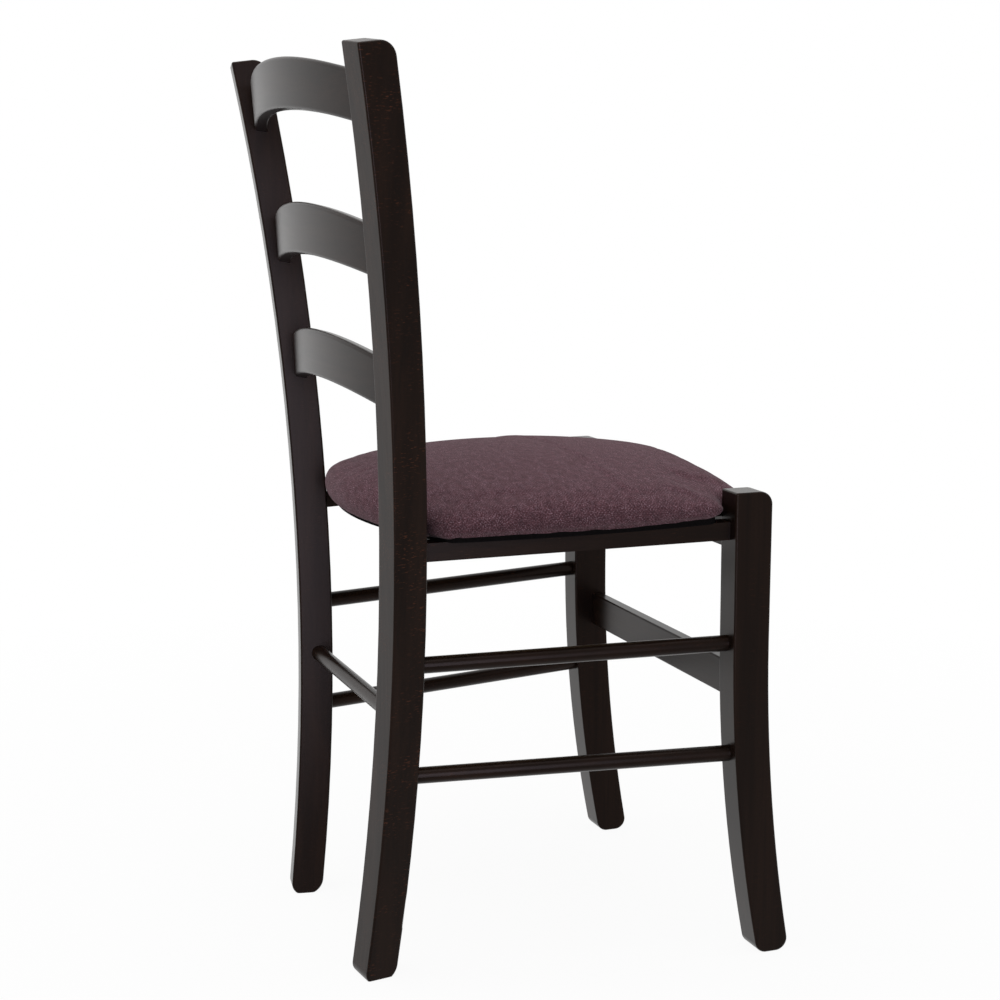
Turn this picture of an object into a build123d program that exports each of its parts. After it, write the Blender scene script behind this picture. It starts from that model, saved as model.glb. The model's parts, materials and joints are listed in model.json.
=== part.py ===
"""Ladder-back dining chair with an upholstered seat pad, in millimetres.

The chair faces -Y and the sitter's right hand is at -X. The origin lies on the floor
under the middle of the chair. Every wooden joint is a tenon or a round end in a mortise.
"""
import math
import os

from build123d import *

os.makedirs("parts", exist_ok=True)

# Back posts: leg and back upright in one bowed piece, splayed and turned outward
post_line = 153.6
post_height = 881.3
post_knee = 345.0
post_spread = 308.6
post_splay = 5.63
post_turn = 10.35
post_width = 32.3
post_depth_foot = 33.3
post_depth_knee = 34.5
post_depth_head = 36.4
post_kick = 23.3
post_lean = 46.6
post_crest_round = 16.0
post_crest_slope = 5.8
post_toe_round = 18.0

# Front legs: straight to the knee, then kicked forward
leg_line = -182.4
leg_height = 466.4
leg_knee = 320.0
leg_spread = 393.6
leg_width = 32.3
leg_depth_foot = 35.2
leg_depth_knee = 38.2
leg_depth_head = 39.2
leg_kick = 31.5
leg_crest_round = 13.0

# Shared by posts and legs
foot_round = 12.0
wood_round = 2.0
joint_gap = 0.1
mortise_relief = 1.0

# Back slats, bent in plan and arched; their edges fall towards the front
top_slat_share = 0.8886
top_slat_set = -0.9
top_slat_arch = 22.9
top_slat_hollow = 20.6
middle_slat_share = 0.5834
middle_slat_set = -0.9
middle_slat_arch = 22.0
middle_slat_hollow = 17.8
lower_slat_share = 0.3111
lower_slat_set = -2.5
lower_slat_arch = 18.2
lower_slat_hollow = 16.8
slat_bend = 728.0
slat_thickness = 13.0
slat_height = 45.6
slat_edge_fall = 3.8
slat_tilt_share = 0.5
slat_back_round = 3.5
slat_tenon_thickness = 8.0
slat_tenon_height = 28.0
slat_tenon_length = 14.0

# Round rungs, from the middle of one upright to the middle of the next
rung_diameter = 16.0
rung_end_bevel = 1.5
side_rung_levels = {"upper_rung": (310.7, 316.4), "lower_rung": (200.8, 205.0)}
back_rung_level = 258.7

# Flat stretcher board between the front legs
stretcher_level = 269.2
stretcher_height = 36.0
stretcher_thickness = 13.0
stretcher_set = 8.4
stretcher_tenon_thickness = 8.0
stretcher_tenon_height = 26.0
stretcher_tenon_length = 15.0

# Seat rails, on a plane that falls towards the back
leg_above_rail = 29.7
seat_pitch = 1.21
rail_height = 17.5
rail_width = 19.0
rail_front_step = 3.7
rail_back_spread = 340.0
rail_tenon = 10.5
rail_tenon_length = 15.0
front_rail_height = 30.0
front_rail_width = 20.0
front_rail_tenon = 9.0
front_rail_tenon_drop = 22.0
back_rail_width = 22.0
back_rail_forward = 34.0
back_rail_tenon_length = 9.0

# Seat pad: plywood board, foam and fabric cover
pad_clearance = 3.0
pad_front_inset = 3.9
pad_back_width = 376.0
pad_side_bow = 13.0
pad_front_reach = 42.0
pad_front_bow = 6.0
pad_back_radius = 394.0
pad_back_clearance = 2.0
pad_crown = 59.5
pad_crown_setback = 151.5
pad_crown_fall_across = 25.7
pad_crown_fall_along = 20.5
pad_back_corner_round = 17.0
pad_tongue_round = 17.5
pad_leg_corner_share = 0.75
pad_notch_round = 6.0
pad_roll = 16.0
pad_tuck = 9.0
cover_thickness = 1.2
cover_hem = 47.0
foam_gap = 0.2
board_thickness = 8.0
board_inset = 10.0

# Screws that hold the board from below, heads sunk in the rails
screw_diameter = 3.5
screw_head_diameter = 8.0
screw_head_height = 2.6
screw_length = 25.0
screw_gap = 0.2
back_screw_spread = 180.0
side_screw_setback = 60.0
hem_hole_diameter = 5.5

sides = {"right": -1, "left": 1}
splay = math.radians(post_splay)
turn = math.radians(post_turn)
pitch = math.radians(seat_pitch)
rung_radius = rung_diameter / 2
rail_top = leg_height - leg_above_rail
back_height = post_height - rail_top
rail_front_spread = leg_spread + 2 * rail_front_step
slat_levels = {
    "top_slat": rail_top + top_slat_share * back_height,
    "middle_slat": rail_top + middle_slat_share * back_height,
    "lower_slat": rail_top + lower_slat_share * back_height,
}
slat_sets = {"top_slat": top_slat_set, "middle_slat": middle_slat_set, "lower_slat": lower_slat_set}
slat_arches = {"top_slat": top_slat_arch, "middle_slat": middle_slat_arch, "lower_slat": lower_slat_arch}
slat_hollows = {
    "top_slat": top_slat_hollow,
    "middle_slat": middle_slat_hollow,
    "lower_slat": lower_slat_hollow,
}

# Bows of the posts and legs, as arcs that start upright at the knee
head_length = (post_height - post_knee) / math.cos(splay)
foot_length = post_knee / math.cos(splay)
lean_radius = (head_length**2 + post_lean**2) / (2 * post_lean)
kick_radius = (foot_length**2 + post_kick**2) / (2 * post_kick)
leg_kick_radius = (leg_knee**2 + leg_kick**2) / (2 * leg_kick)
sole_trim = post_width * math.tan(splay)


def write(piece, name):
    """Label one finished piece and write its file."""
    piece.part.label = name
    export_step(piece.part, f"parts/{name}.step")


def arc_offset(radius, distance):
    """How far an arc has left its tangent after a distance along that tangent."""
    return radius - math.sqrt(radius**2 - distance**2)


def post_plane(side):
    """Plane of a post's profile: x runs backward, y up the splayed axis, z towards +X."""
    up = Vector(side * math.sin(splay), 0, math.cos(splay))
    back = Vector(side * math.sin(turn), math.cos(turn), 0)
    across = back.cross(up).normalized()
    knee = (side * post_spread / 2, post_line, post_knee)
    return Plane(origin=knee, x_dir=up.cross(across), z_dir=across)


def post_rise(level):
    """Distance from the knee up the post's axis to a height above the floor."""
    return (level - post_knee) / math.cos(splay)


def post_bow(rise):
    """Backward offset of the post's centre line."""
    return arc_offset(lean_radius if rise > 0 else kick_radius, rise)


def post_tilt(rise):
    """Backward lean of the post's centre line, in radians."""
    return math.asin(rise / (lean_radius if rise > 0 else kick_radius))


def post_centre(side, level):
    """Point on a post's centre line."""
    rise = post_rise(level)
    return post_plane(side).from_local_coords(Vector(post_bow(rise), rise, 0))


def leg_plane(side):
    """Plane of a front leg's profile: x runs backward, y up, z towards +X."""
    return Plane(origin=(side * leg_spread / 2, leg_line, 0), x_dir=(0, 1, 0), z_dir=(1, 0, 0))


def leg_centre(side, level):
    """Point on a front leg's centre line."""
    bow = arc_offset(leg_kick_radius, leg_knee - level) if level < leg_knee else 0
    return leg_plane(side).from_local_coords(Vector(-bow, level, 0))


def post_face(side, level, depth_share, width_share):
    """Plane on a post's face, looking out of the post, at a height above the floor."""
    frame = post_plane(side)
    rise = post_rise(level)
    tilt = post_tilt(rise)
    back = frame.x_dir * math.cos(tilt) - frame.y_dir * math.sin(tilt)
    offset = back * (depth_share * post_depth_knee / 2)
    offset += frame.z_dir * (width_share * post_width / 2)
    outward = back * depth_share + frame.z_dir * width_share
    centre = frame.from_local_coords(Vector(post_bow(rise), rise, 0))
    along = frame.y_dir * math.cos(tilt) + frame.x_dir * math.sin(tilt)
    return Plane(origin=centre + offset, x_dir=along.cross(outward), z_dir=outward)


def slat_tilt(name):
    """Backward lean of a slat's face, in radians."""
    return slat_tilt_share * post_tilt(post_rise(slat_levels[name]))


def slat_seat(side, name):
    """Plane on a post's inner face where a slat ends, looking into the post."""
    frame = post_plane(side)
    face = post_face(side, slat_levels[name], 0, -side)
    tilt = slat_tilt(name)
    backward = frame.x_dir * math.cos(tilt) - frame.y_dir * math.sin(tilt)
    return Plane(origin=face.origin + backward * slat_sets[name], x_dir=backward, z_dir=face.z_dir * -1)


def rung_axis(side, levels):
    """Plane across a side rung's back end, looking along it, and its length."""
    start = post_centre(side, levels[0])
    reach = leg_centre(side, levels[1]) - start
    return Plane(origin=start, z_dir=reach.normalized()), reach.length


def back_rung_axis():
    """Plane across the back rung's right end, looking along it, and its length."""
    start = post_centre(-1, back_rung_level)
    reach = post_centre(1, back_rung_level) - start
    return Plane(origin=start, z_dir=reach.normalized()), reach.length


def stretcher_seat(side):
    """Plane on a front leg's inner face where the stretcher ends, looking into the leg."""
    centre = leg_centre(side, stretcher_level)
    inner = Vector(-side * leg_width / 2, -stretcher_set, 0)
    return Plane(origin=centre + inner, x_dir=(0, 1, 0), z_dir=(side, 0, 0))


# Seat plane: on top of the rails, x to the left, y backward from the legs' back faces
seat_plane = Plane(
    origin=(0, leg_line + leg_depth_head / 2, rail_top),
    x_dir=(1, 0, 0),
    z_dir=(0, math.sin(pitch), math.cos(pitch)),
)
post_at_seat = seat_plane.to_local_coords(post_centre(1, rail_top))
post_front = post_face(1, rail_top - rail_height / 2, -1, 0)
post_front_at_seat = seat_plane.to_local_coords(post_front.origin)
rail_back_y = post_front_at_seat.Y
rail_toe = (rail_front_spread - rail_back_spread) / 2 / rail_back_y


def rail_centre_x(setback):
    """Distance of a side rail's middle from the middle of the seat."""
    return rail_front_spread / 2 - rail_toe * setback - rail_width / 2


def rail_axis(side, to_front):
    """Plane across a side rail's end on its centre line, looking out of the rail."""
    setback = 0 if to_front else rail_back_y
    run = seat_plane.y_dir - seat_plane.x_dir * (side * rail_toe)
    middle = Vector(side * rail_centre_x(setback), setback, -rail_height / 2)
    out = run * (-1 if to_front else 1)
    return Plane(origin=seat_plane.from_local_coords(middle), x_dir=seat_plane.z_dir, z_dir=out)


def front_rail_seat(side):
    """Plane on a front leg's inner face where the front rail's tenon enters it."""
    inner_x = side * (leg_spread - leg_width) / 2
    middle = Vector(inner_x, -leg_depth_head / 2, -front_rail_tenon_drop)
    out = seat_plane.x_dir * side
    return Plane(origin=seat_plane.from_local_coords(middle), x_dir=seat_plane.y_dir, z_dir=out)


back_rail_y = rail_back_y - back_rail_forward


def back_rail_seat(side):
    """Plane on a side rail's inner face where the back rail ends, looking into the rail."""
    inner_x = rail_centre_x(back_rail_y) - rail_width / 2
    middle = Vector(side * inner_x, back_rail_y, -rail_height / 2)
    out = seat_plane.x_dir * side + seat_plane.y_dir * rail_toe
    return Plane(origin=seat_plane.from_local_coords(middle), x_dir=seat_plane.z_dir, z_dir=out)


# Seat-plane points of the four screws: two in the back rail, one in each side rail
rail_underside = seat_plane.offset(-rail_height)
back_screw_places = [(side * back_screw_spread / 2, back_rail_y) for side in sides.values()]
side_screw_places = {
    side: (side * rail_centre_x(side_screw_setback), side_screw_setback) for side in sides.values()
}
screw_places = back_screw_places + list(side_screw_places.values())
leg_back = Plane(
    origin=seat_plane.origin + Vector(0, 0, leg_height - rail_top),
    x_dir=(1, 0, 0),
    z_dir=(0, leg_height - leg_knee, (leg_depth_knee - leg_depth_head) / 2),
)

# Back posts
for word, side in sides.items():
    frame = post_plane(side)
    head_tilt = post_tilt(head_length)
    head_reach = post_depth_head / 2 * math.cos(head_tilt)
    head_drop = head_reach * math.tan(math.radians(post_crest_slope))
    head_front = (post_lean - head_reach, head_length + head_drop)
    head_back = (post_lean + head_reach, head_length - head_drop)
    foot_front = (post_kick - post_depth_foot / 2, -foot_length - sole_trim)
    foot_back = (post_kick + post_depth_foot / 2, -foot_length - sole_trim)
    knee_front = (-post_depth_knee / 2, 0)
    knee_back = (post_depth_knee / 2, 0)
    with BuildPart() as back_post:
        with BuildSketch(frame) as profile:
            with BuildLine():
                TangentArc(knee_front, head_front, tangent=(0, 1))
                Line(head_front, head_back)
                TangentArc(knee_back, head_back, tangent=(0, 1))
                TangentArc(knee_back, foot_back, tangent=(0, -1))
                Line(foot_back, foot_front)
                TangentArc(knee_front, foot_front, tangent=(0, -1))
            make_face()
            fillet(profile.vertices().sort_by_distance(head_front)[0], post_crest_round)
            fillet(profile.vertices().sort_by_distance(head_back)[0], wood_round)
            fillet(profile.vertices().sort_by_distance(foot_front)[0], post_toe_round)
            fillet(profile.vertices().sort_by_distance(foot_back)[0], foot_round)
        extrude(amount=post_width / 2, both=True)
        fillet(back_post.faces().filter_by(frame).edges(), wood_round)
        split(bisect_by=Plane.XY, keep=Keep.TOP)
        for name in slat_levels:
            with BuildSketch(slat_seat(side, name)):
                Rectangle(slat_tenon_thickness + 2 * joint_gap, slat_tenon_height + 2 * joint_gap)
            extrude(amount=slat_tenon_length + mortise_relief, mode=Mode.SUBTRACT)
        for levels in side_rung_levels.values():
            axis, length = rung_axis(side, levels)
            with BuildSketch(axis.offset(-mortise_relief)):
                Circle(rung_radius + joint_gap)
            extrude(amount=post_depth_knee, mode=Mode.SUBTRACT)
        axis, length = back_rung_axis()
        with BuildSketch(axis.offset(-mortise_relief)):
            Circle(rung_radius + joint_gap)
        extrude(amount=length + 2 * mortise_relief, mode=Mode.SUBTRACT)
        with BuildSketch(rail_axis(side, False).offset(-rail_tenon_length)):
            Rectangle(rail_tenon + 2 * joint_gap, rail_tenon + 2 * joint_gap)
        extrude(amount=2 * rail_tenon_length + mortise_relief, mode=Mode.SUBTRACT)
    write(back_post, f"{word}_back_post")

# Front legs
for word, side in sides.items():
    frame = leg_plane(side)
    crest_front = (-leg_depth_head / 2, leg_height)
    crest_back = (leg_depth_head / 2, leg_height)
    knee_front = (-leg_depth_knee / 2, leg_knee)
    knee_back = (leg_depth_knee / 2, leg_knee)
    toe = (-leg_kick - leg_depth_foot / 2, 0)
    heel = (-leg_kick + leg_depth_foot / 2, 0)
    with BuildPart() as front_leg:
        with BuildSketch(frame) as profile:
            with BuildLine():
                Polyline(knee_front, crest_front, crest_back, knee_back)
                TangentArc(knee_back, heel, tangent=(0, -1))
                Line(heel, toe)
                TangentArc(knee_front, toe, tangent=(0, -1))
            make_face()
            fillet(profile.vertices().sort_by_distance(crest_front)[0], leg_crest_round)
            fillet(profile.vertices().sort_by_distance(crest_back)[0], wood_round)
            fillet(profile.vertices().sort_by_distance(toe)[0], foot_round)
            fillet(profile.vertices().sort_by_distance(heel)[0], foot_round)
        extrude(amount=leg_width / 2, both=True)
        fillet(front_leg.faces().filter_by(frame).edges(), wood_round)
        for levels in side_rung_levels.values():
            axis, length = rung_axis(side, levels)
            with BuildSketch(axis.offset(length + mortise_relief)):
                Circle(rung_radius + joint_gap)
            extrude(amount=-leg_depth_head, mode=Mode.SUBTRACT)
        with BuildSketch(stretcher_seat(side)):
            Rectangle(stretcher_tenon_thickness + 2 * joint_gap, stretcher_tenon_height + 2 * joint_gap)
        extrude(amount=stretcher_tenon_length + mortise_relief, mode=Mode.SUBTRACT)
        with BuildSketch(rail_axis(side, True).offset(-rail_tenon_length)):
            Rectangle(rail_tenon + 2 * joint_gap, rail_tenon + 2 * joint_gap)
        extrude(amount=2 * rail_tenon_length + mortise_relief, mode=Mode.SUBTRACT)
        with BuildSketch(front_rail_seat(side)):
            Rectangle(front_rail_tenon + 2 * joint_gap, front_rail_tenon + 2 * joint_gap)
        extrude(amount=rail_tenon_length + mortise_relief, mode=Mode.SUBTRACT)
    write(front_leg, f"{word}_front_leg")

# Back slats
for name in slat_levels:
    end = slat_seat(1, name).origin
    tilt = slat_tilt(name)
    bulge = arc_offset(slat_bend, end.X)
    reach = end.X + slat_thickness
    spread = math.degrees(math.asin(reach / slat_bend))
    spine = (0, bulge - slat_bend)
    tall = slat_height + slat_arches[name] + slat_edge_fall
    plan = Plane(origin=(0, end.Y, end.Z), x_dir=(1, 0, 0), z_dir=(0, math.sin(tilt), math.cos(tilt)))
    front_view = Plane(origin=plan.origin, x_dir=(1, 0, 0), z_dir=plan.y_dir * -1)
    fall = slat_edge_fall / slat_thickness
    stretch = (reach / end.X) ** 2
    edges = []
    for arch, half in ((slat_arches[name], slat_height / 2), (slat_hollows[name], -slat_height / 2)):
        rise = arch - bulge * fall
        middle = half - slat_edge_fall / 2 + rise
        edges.append((middle, middle - rise * stretch))
    (top_middle, top_end), (low_middle, low_end) = edges
    with BuildPart() as slat:
        with BuildSketch(plan):
            with BuildLine():
                outer = CenterArc(spine, slat_bend + slat_thickness / 2, 90 - spread, 2 * spread)
                inner = CenterArc(spine, slat_bend - slat_thickness / 2, 90 - spread, 2 * spread)
                Line(outer @ 0, inner @ 0)
                Line(outer @ 1, inner @ 1)
            make_face()
        extrude(amount=tall, both=True)
        with BuildSketch(front_view):
            with BuildLine():
                top_edge = ThreePointArc((-reach, top_end), (0, top_middle), (reach, top_end))
                low_edge = ThreePointArc((-reach, low_end), (0, low_middle), (reach, low_end))
                Line(top_edge @ 0, low_edge @ 0)
                Line(top_edge @ 1, low_edge @ 1)
            make_face()
        falling = front_view.z_dir - front_view.y_dir * fall
        extrude(amount=2 * (slat_thickness + bulge), dir=falling, both=True, mode=Mode.INTERSECT)
        for side in sides.values():
            seat = slat_seat(side, name)
            split(bisect_by=Plane(origin=seat.origin, z_dir=seat.z_dir), keep=Keep.BOTTOM)
        long_edges = slat.edges().sort_by(SortBy.LENGTH)[-4:].sort_by(Axis.Y)
        fillet(long_edges[:2], wood_round)
        long_edges = slat.faces().sort_by(Axis.Y)[-1].edges().sort_by(SortBy.LENGTH)[-2:]
        fillet(long_edges, slat_back_round)
        for side in sides.values():
            with BuildSketch(slat_seat(side, name)):
                Rectangle(slat_tenon_thickness, slat_tenon_height)
            extrude(amount=slat_tenon_length)
    write(slat, name)

# Side rungs
for word, side in sides.items():
    for rung_name, levels in side_rung_levels.items():
        axis, length = rung_axis(side, levels)
        with BuildPart() as rung:
            with BuildSketch(axis):
                Circle(rung_radius)
            extrude(amount=length)
            chamfer(rung.edges().filter_by(GeomType.CIRCLE), rung_end_bevel)
        write(rung, f"{word}_{rung_name}")

# Back rung
axis, length = back_rung_axis()
with BuildPart() as back_rung:
    with BuildSketch(axis):
        Circle(rung_radius)
    extrude(amount=length)
    chamfer(back_rung.edges().filter_by(GeomType.CIRCLE), rung_end_bevel)
write(back_rung, "back_rung")

# Front stretcher
stretcher_start = stretcher_seat(-1)
stretcher_length = leg_spread - leg_width
with BuildPart() as stretcher:
    with BuildSketch(Plane(origin=stretcher_start.origin, x_dir=(0, 1, 0), z_dir=(1, 0, 0))):
        RectangleRounded(stretcher_thickness, stretcher_height, wood_round)
    extrude(amount=stretcher_length)
    for side in sides.values():
        with BuildSketch(stretcher_seat(side)):
            Rectangle(stretcher_tenon_thickness, stretcher_tenon_height)
        extrude(amount=stretcher_tenon_length)
write(stretcher, "front_stretcher")

# Side seat rails
for word, side in sides.items():
    front_outer = side * rail_front_spread / 2
    front_inner = front_outer - side * rail_width
    overrun = rail_back_y + post_depth_knee
    drift = side * rail_toe * overrun
    lead = side * rail_toe * mortise_relief
    front_plane = post_face(side, rail_top - rail_height / 2, -1, 0)
    with BuildPart() as side_rail:
        with BuildSketch(seat_plane):
            Polygon(
                (front_outer + lead, -mortise_relief),
                (front_outer - drift, overrun),
                (front_inner - drift, overrun),
                (front_inner + lead, -mortise_relief),
                align=None,
            )
        extrude(amount=-rail_height)
        split(bisect_by=front_plane.offset(joint_gap), keep=Keep.TOP)
        split(bisect_by=leg_back.offset(joint_gap), keep=Keep.TOP)
        for to_front in (True, False):
            with BuildSketch(rail_axis(side, to_front).offset(-rail_tenon_length)):
                Rectangle(rail_tenon, rail_tenon)
            extrude(amount=2 * rail_tenon_length)
        with BuildSketch(back_rail_seat(side)):
            Rectangle(rail_tenon + 2 * joint_gap, rail_tenon + 2 * joint_gap)
        extrude(amount=back_rail_tenon_length + mortise_relief, mode=Mode.SUBTRACT)
        with BuildSketch(rail_underside):
            with Locations(side_screw_places[side]):
                Circle(screw_diameter / 2 + screw_gap)
        extrude(amount=rail_height, mode=Mode.SUBTRACT)
        with BuildSketch(rail_underside):
            with Locations(side_screw_places[side]):
                Circle(screw_head_diameter / 2 + screw_gap)
        extrude(amount=screw_head_height, mode=Mode.SUBTRACT)
    write(side_rail, f"{word}_seat_rail")

# Front seat rail
front_rail_length = leg_spread - leg_width - 2 * joint_gap
with BuildPart() as front_rail:
    with BuildSketch(seat_plane):
        with Locations((0, -leg_depth_head / 2)):
            Rectangle(front_rail_length, front_rail_width)
    extrude(amount=-front_rail_height)
    for side in sides.values():
        with BuildSketch(front_rail_seat(side).offset(-rail_tenon_length)):
            Rectangle(front_rail_tenon, front_rail_tenon)
        extrude(amount=2 * rail_tenon_length)
write(front_rail, "front_seat_rail")

# Back seat rail
with BuildPart() as back_rail:
    with BuildSketch(seat_plane):
        with Locations((0, back_rail_y)):
            Rectangle(rail_back_spread, back_rail_width)
    extrude(amount=-rail_height)
    for side in sides.values():
        seat = back_rail_seat(side)
        split(bisect_by=Plane(origin=seat.origin, z_dir=seat.z_dir), keep=Keep.BOTTOM)
    for side in sides.values():
        with BuildSketch(back_rail_seat(side)):
            Rectangle(rail_tenon, rail_tenon)
        extrude(amount=back_rail_tenon_length)
    with BuildSketch(rail_underside):
        with Locations(*back_screw_places):
            Circle(screw_diameter / 2 + screw_gap)
    extrude(amount=rail_height, mode=Mode.SUBTRACT)
    with BuildSketch(rail_underside):
        with Locations(*back_screw_places):
            Circle(screw_head_diameter / 2 + screw_gap)
    extrude(amount=screw_head_height, mode=Mode.SUBTRACT)
write(back_rail, "back_seat_rail")

# Pad outline in the seat plane: bowed sides, a back edge that clears the posts, notches for the legs
post_corner_x = post_front_at_seat.X - post_width / 2 * math.cos(turn)
post_corner_y = post_front_at_seat.Y + post_width / 2 * math.sin(turn)
pad_back_swing = pad_back_radius + pad_back_clearance
pad_back_centre = post_corner_y - math.sqrt(pad_back_swing**2 - post_corner_x**2)
pad_back_corner = (
    pad_back_width / 2,
    pad_back_centre + math.sqrt(pad_back_radius**2 - (pad_back_width / 2) ** 2),
)
pad_back_middle = (0, pad_back_centre + pad_back_radius)
pad_front_corner = (
    (leg_spread + leg_width) / 2 - pad_front_inset,
    pad_front_bow - pad_front_reach,
)
pad_front_middle = (0, -pad_front_reach)
pad_side_middle = (
    (pad_front_corner[0] + pad_back_corner[0]) / 2 + pad_side_bow,
    (pad_front_corner[1] + pad_back_corner[1]) / 2,
)
leg_notch = ((leg_spread - leg_width) / 2 - pad_clearance, pad_clearance)

# Crown of the pad: two arcs that fall by a set amount at its sides and at its front
pad_half_width = (leg_spread + leg_width) / 2
pad_half_length = pad_crown_setback + pad_front_reach
pad_crown_across = (pad_half_width**2 + pad_crown_fall_across**2) / (2 * pad_crown_fall_across)
pad_crown_along = (pad_half_length**2 + pad_crown_fall_along**2) / (2 * pad_crown_fall_along)


def mirrored(point):
    """The same point on the sitter's other side."""
    return (-point[0], point[1])


def pad_footprint(inset):
    """The pad's outline, drawn in by an inset, as a sketch on its own XY plane."""
    with BuildSketch() as footprint:
        with BuildLine():
            ThreePointArc(mirrored(pad_back_corner), pad_back_middle, pad_back_corner)
            ThreePointArc(pad_back_corner, pad_side_middle, pad_front_corner)
            ThreePointArc(pad_front_corner, pad_front_middle, mirrored(pad_front_corner))
            ThreePointArc(mirrored(pad_front_corner), mirrored(pad_side_middle), mirrored(pad_back_corner))
        make_face()
        for side in sides.values():
            with Locations((side * (leg_notch[0] + leg_spread / 2), leg_notch[1] - leg_spread / 2)):
                Rectangle(leg_spread, leg_spread, mode=Mode.SUBTRACT)
        sharp = footprint.vertices().group_by(Axis.Y)
        fillet(sharp[-1], pad_back_corner_round)
        sharp = footprint.vertices().sort_by(Axis.Y)
        fillet(sharp[:2], pad_tongue_round)
        for side in sides.values():
            hollow = footprint.vertices().sort_by_distance((side * leg_notch[0], leg_notch[1]))[0]
            fillet(hollow, pad_notch_round)
            tip = footprint.vertices().sort_by_distance((side * leg_spread, leg_notch[1]))[0]
            fillet(tip, pad_leg_corner_share * leg_width)
        if inset:
            offset(amount=-inset)
    return footprint.sketch


def pad_form(inset):
    """The crowned pad with its sides rolled in, drawn in all round by an inset."""
    across = pad_crown_across - inset
    height = pad_crown - inset
    half = leg_spread
    crown_centre = seat_plane.from_local_coords(Vector(0, pad_crown_setback, 0))
    section = Plane(origin=crown_centre, x_dir=seat_plane.x_dir, z_dir=seat_plane.y_dir * -1)
    edge_height = height - arc_offset(across, half)
    axle = section.from_local_coords(Vector(0, pad_crown - pad_crown_along, 0))
    with BuildPart() as form:
        with BuildSketch(seat_plane.offset(inset)):
            add(pad_footprint(inset))
        extrude(amount=pad_crown)
        with BuildSketch(section):
            with BuildLine():
                crown = ThreePointArc((-half, edge_height), (0, height), (half, edge_height))
                Polyline(crown @ 0, (-half, -height * 4), (half, -height * 4), crown @ 1)
            make_face()
        revolve(axis=Axis(axle, seat_plane.x_dir), mode=Mode.INTERSECT)
        fillet(form.faces().sort_by(Axis.Z)[-1].edges(), pad_roll - inset)
        fillet(form.faces().sort_by(Axis.Z)[0].edges(), pad_tuck - inset)
    return form.part


board_bottom = seat_plane.offset(cover_thickness)

# Seat board
with BuildPart() as seat_board:
    with BuildSketch(board_bottom):
        add(pad_footprint(board_inset))
    extrude(amount=board_thickness)
    with BuildSketch(board_bottom):
        with Locations(*screw_places):
            Circle(screw_diameter / 2 + screw_gap)
    extrude(amount=screw_length - rail_height, mode=Mode.SUBTRACT)
write(seat_board, "seat_board")

# Foam, wrapped over the board's edge
foam_form = pad_form(cover_thickness + foam_gap)
with BuildPart() as seat_foam:
    add(foam_form)
    with BuildSketch(seat_plane):
        add(pad_footprint(board_inset - foam_gap))
    extrude(amount=cover_thickness + board_thickness + foam_gap, mode=Mode.SUBTRACT)
write(seat_foam, "seat_foam")

# Fabric cover, turned under the board as a hem
cover_outside = pad_form(0)
cover_inside = pad_form(cover_thickness)
with BuildPart() as seat_cover:
    add(cover_outside)
    add(cover_inside, mode=Mode.SUBTRACT)
    with BuildSketch(seat_plane):
        add(pad_footprint(cover_hem))
    extrude(amount=2 * cover_thickness, mode=Mode.SUBTRACT)
    with BuildSketch(seat_plane):
        with Locations(*screw_places):
            Circle(hem_hole_diameter / 2)
    extrude(amount=2 * cover_thickness, mode=Mode.SUBTRACT)
write(seat_cover, "seat_cover")

# Seat screws
with BuildPart() as seat_screws:
    with BuildSketch(rail_underside):
        with Locations(*screw_places):
            Circle(screw_diameter / 2)
    extrude(amount=screw_length)
    with BuildSketch(rail_underside):
        with Locations(*screw_places):
            Circle(screw_head_diameter / 2)
    extrude(amount=screw_head_height)
write(seat_screws, "seat_screws")
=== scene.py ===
"""Looks of a ladder-back dining chair: stained wood, a swollen fabric pad, its hem and a studio stage."""

import json
import math

import bpy
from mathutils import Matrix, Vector, bvhtree, kdtree

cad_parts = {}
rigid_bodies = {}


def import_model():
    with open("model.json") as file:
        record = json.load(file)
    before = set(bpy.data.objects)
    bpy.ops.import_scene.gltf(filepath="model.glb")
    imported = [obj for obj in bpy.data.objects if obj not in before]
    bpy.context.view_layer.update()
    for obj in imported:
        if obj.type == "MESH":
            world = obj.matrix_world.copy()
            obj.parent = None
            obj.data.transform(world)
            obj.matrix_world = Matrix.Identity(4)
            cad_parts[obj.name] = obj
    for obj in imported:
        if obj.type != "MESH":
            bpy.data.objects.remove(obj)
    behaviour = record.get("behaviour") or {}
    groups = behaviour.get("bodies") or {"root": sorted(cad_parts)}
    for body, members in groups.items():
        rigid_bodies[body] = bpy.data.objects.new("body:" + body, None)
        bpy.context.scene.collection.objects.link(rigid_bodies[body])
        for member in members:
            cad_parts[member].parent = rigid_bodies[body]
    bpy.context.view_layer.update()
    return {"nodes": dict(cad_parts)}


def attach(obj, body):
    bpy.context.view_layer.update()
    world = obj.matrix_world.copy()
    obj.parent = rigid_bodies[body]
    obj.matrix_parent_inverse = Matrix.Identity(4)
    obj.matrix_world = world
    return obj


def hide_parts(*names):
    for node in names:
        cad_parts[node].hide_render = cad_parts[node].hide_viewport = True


bl_info = {
    "name": "Ladder-back dining chair",
    "version": (1, 0, 0),
    "blender": (4, 5, 0),
    "location": "View3D > Sidebar > Chair",
    "description": "Finishes a ladder-back dining chair and its seat pad",
    "category": "Object",
}

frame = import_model()

# Seat plane of the frame, which falls towards the back
RAIL_TOP = 0.4367
SEAT_FRONT_Y = -0.1628
SEAT_PITCH = math.radians(1.21)
SEAT_UP = Vector((0.0, math.sin(SEAT_PITCH), math.cos(SEAT_PITCH)))
SEAT_BACKWARD = Vector((0.0, math.cos(SEAT_PITCH), -math.sin(SEAT_PITCH)))
SEAT_ORIGIN = Vector((0.0, SEAT_FRONT_Y, RAIL_TOP))

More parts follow.
